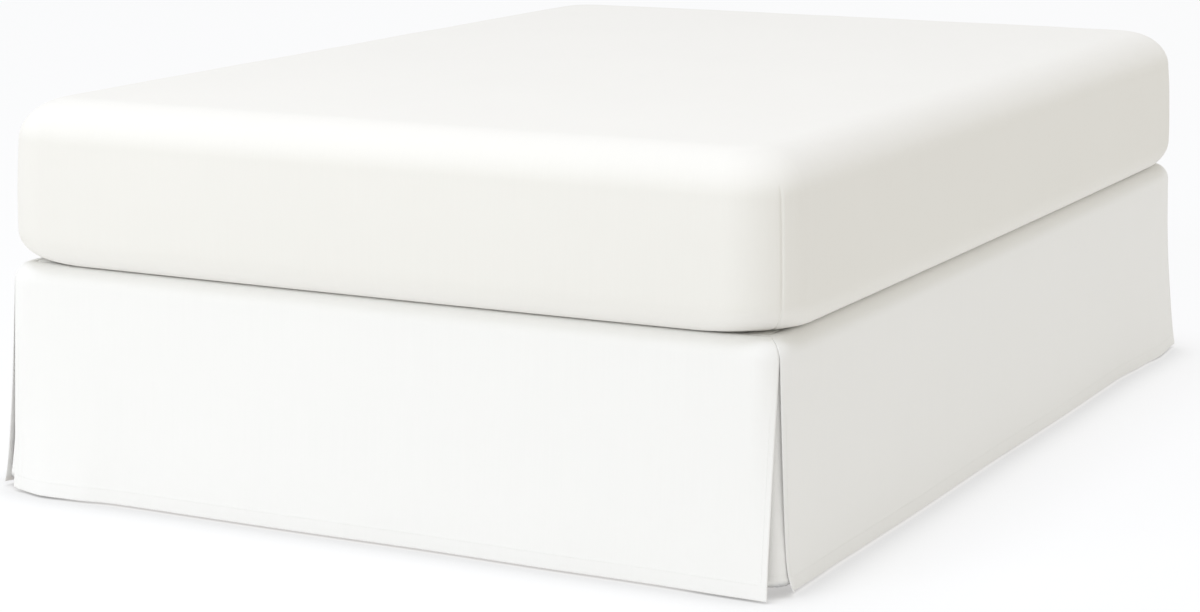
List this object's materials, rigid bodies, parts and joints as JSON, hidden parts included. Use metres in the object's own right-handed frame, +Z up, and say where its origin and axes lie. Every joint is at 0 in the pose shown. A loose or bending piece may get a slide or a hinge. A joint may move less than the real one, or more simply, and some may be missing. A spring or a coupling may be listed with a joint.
{
  "type": "box spring cover on a box spring and mattress",
  "caption": "Tailored bed skirt with split, pleat-backed corners, fitted over a box spring under a mattress and hanging to just above the floor, on a plain hidden base.",
  "frame": {"origin": "on the floor, under the middle of the bed's outer box", "axes": "+X across the bed, +Y along it from the foot end to the head end, +Z up"},
  "size_m": [1.442, 2.0467, 0.6573],
  "materials": {
    "cover_cloth": "matt brushed plain weave, white",
    "mattress_cloth": "smooth fine knit with a faint sheen, off-white",
    "ticking": "matt non-woven, pale grey",
    "beech": "satin lacquer"
  },
  "bodies": {
    "root": {"deck": "cover_cloth", "drop_front": "cover_cloth", "drop_right": "cover_cloth", "drop_back": "cover_cloth", "drop_left": "cover_cloth", "insert_front_right": "cover_cloth", "insert_back_right": "cover_cloth", "insert_back_left": "cover_cloth", "insert_front_left": "cover_cloth", "mattress": "mattress_cloth", "box_spring": "ticking", "bed_platform": "beech", "bed_leg_front_left": "beech", "bed_leg_front_right": "beech", "bed_leg_middle_left": "beech", "bed_leg_middle_right": "beech", "bed_leg_back_left": "beech", "bed_leg_back_right": "beech"}
  },
  "joints": []
}
